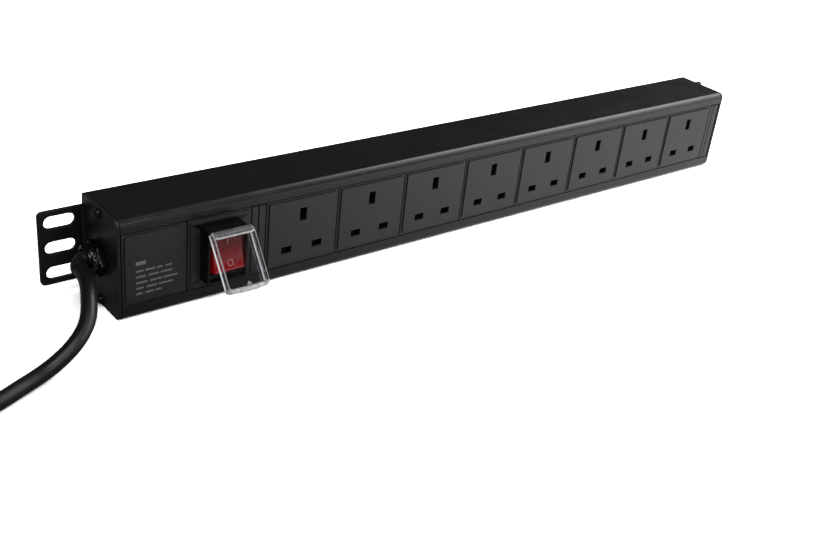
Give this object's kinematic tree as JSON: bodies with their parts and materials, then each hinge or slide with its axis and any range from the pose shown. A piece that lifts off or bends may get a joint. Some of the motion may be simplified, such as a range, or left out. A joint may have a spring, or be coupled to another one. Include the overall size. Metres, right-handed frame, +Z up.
{
  "type": "rack power strip",
  "caption": "Long black rack-mount mains power strip with a row of rectangular-pin sockets, a lit rocker switch under a hinged clear cover, slotted end ears, a cable gland and a coiled lead.",
  "frame": {"origin": "on the surface the strip stands on, under the middle of the strip's box without its lead", "axes": "+X along the strip away from the lead, -Y towards the person plugging in, +Z up, from the live and neutral slots to the earth slots"},
  "size_m": [0.7652, 0.1598, 0.0625],
  "materials": {
    "anodised_black": "black anodised, satin",
    "powder_coat_black": "black powder coat",
    "black_zinc": "black zinc plated",
    "module_grey": "charcoal moulding, fine texture",
    "inner_black": "black moulding",
    "brass": "plain brass",
    "red_rocker": "translucent red, lit from behind",
    "clear_cover": "clear polycarbonate, polished",
    "steel": "drawn steel pin",
    "nylon_black": "black nylon, satin gloss",
    "rubber_black": "soft black moulding",
    "wire_brown": "brown wire insulation",
    "wire_blue": "blue wire insulation",
    "wire_green": "green and yellow wire insulation",
    "lead_pvc": "black flexible sheath, slight sheen",
    "strap_black": "woven hook-and-loop strap",
    "plug_moulding": "black moulding"
  },
  "bodies": {
    "strip": {"housing_extrusion": "anodised_black", "end_bracket_left": "powder_coat_black", "end_bracket_right": "powder_coat_black", "end_screw_left_lower": "black_zinc", "end_screw_left_upper": "black_zinc", "end_screw_right_lower": "black_zinc", "end_screw_right_upper": "black_zinc", "label_module": "module_grey", "switch_module": "module_grey", "filler_strip_left_outer": "module_grey", "filler_strip_left_inner": "module_grey", "filler_strip_right_inner": "module_grey", "filler_strip_right_outer": "module_grey", "socket_face_1": "module_grey", "socket_face_2": "module_grey", "socket_face_3": "module_grey", "socket_face_4": "module_grey", "socket_face_5": "module_grey", "socket_face_6": "module_grey", "socket_face_7": "module_grey", "socket_face_8": "module_grey", "socket_base_1": "inner_black", "socket_base_2": "inner_black", "socket_base_3": "inner_black", "socket_base_4": "inner_black", "socket_base_5": "inner_black", "socket_base_6": "inner_black", "socket_base_7": "inner_black", "socket_base_8": "inner_black", "switch_body": "inner_black", "busbar_live": "brass", "busbar_neutral": "brass", "busbar_earth": "brass", "plug_pin_earth": "brass", "plug_pin_live": "brass", "plug_pin_neutral": "brass", "cover_hinge_pin": "steel", "gland_body": "nylon_black", "gland_locknut": "nylon_black", "gland_dome_nut": "nylon_black", "strain_relief_boot": "rubber_black", "wire_live": "wire_brown", "wire_neutral": "wire_blue", "wire_earth": "wire_green", "lead_run": "lead_pvc", "lead_coil": "lead_pvc", "lead_tail": "lead_pvc", "coil_tie": "strap_black", "plug_base": "plug_moulding", "plug_cover": "plug_moulding"},
    "cover": {"switch_cover": "clear_cover"},
    "rocker": {"power_rocker": "red_rocker"},
    "shutter_1": {"socket_shutter_1": "inner_black"},
    "shutter_2": {"socket_shutter_2": "inner_black"},
    "shutter_3": {"socket_shutter_3": "inner_black"},
    "shutter_4": {"socket_shutter_4": "inner_black"},
    "shutter_5": {"socket_shutter_5": "inner_black"},
    "shutter_6": {"socket_shutter_6": "inner_black"},
    "shutter_7": {"socket_shutter_7": "inner_black"},
    "shutter_8": {"socket_shutter_8": "inner_black"}
  },
  "joints": [
    {"name": "cover_hinge", "type": "hinge", "parent": "strip", "child": "cover", "pos_m": [-0.19785, -0.01618, 0.0478], "axis": [1, 0, 0], "range_deg": [-50, 36]},
    {"name": "rocker_pivot", "type": "hinge", "parent": "strip", "child": "rocker", "pos_m": [-0.19785, -0.00568, 0.03185], "axis": [1, 0, 0], "range_deg": [0, 22]},
    {"name": "shutter_1_slide", "type": "slide", "parent": "strip", "child": "shutter_1", "axis": [0, 0, -1], "range_m": [0, 0.006], "stiffness_N_per_m": 100, "springref_m": -0.003},
    {"name": "shutter_2_slide", "type": "slide", "parent": "strip", "child": "shutter_2", "axis": [0, 0, -1], "range_m": [0, 0.006], "stiffness_N_per_m": 100, "springref_m": -0.003},
    {"name": "shutter_3_slide", "type": "slide", "parent": "strip", "child": "shutter_3", "axis": [0, 0, -1], "range_m": [0, 0.006], "stiffness_N_per_m": 100, "springref_m": -0.003},
    {"name": "shutter_4_slide", "type": "slide", "parent": "strip", "child": "shutter_4", "axis": [0, 0, -1], "range_m": [0, 0.006], "stiffness_N_per_m": 100, "springref_m": -0.003},
    {"name": "shutter_5_slide", "type": "slide", "parent": "strip", "child": "shutter_5", "axis": [0, 0, -1], "range_m": [0, 0.006], "stiffness_N_per_m": 100, "springref_m": -0.003},
    {"name": "shutter_6_slide", "type": "slide", "parent": "strip", "child": "shutter_6", "axis": [0, 0, -1], "range_m": [0, 0.006], "stiffness_N_per_m": 100, "springref_m": -0.003},
    {"name": "shutter_7_slide", "type": "slide", "parent": "strip", "child": "shutter_7", "axis": [0, 0, -1], "range_m": [0, 0.006], "stiffness_N_per_m": 100, "springref_m": -0.003},
    {"name": "shutter_8_slide", "type": "slide", "parent": "strip", "child": "shutter_8", "axis": [0, 0, -1], "range_m": [0, 0.006], "stiffness_N_per_m": 100, "springref_m": -0.003}
  ]
}
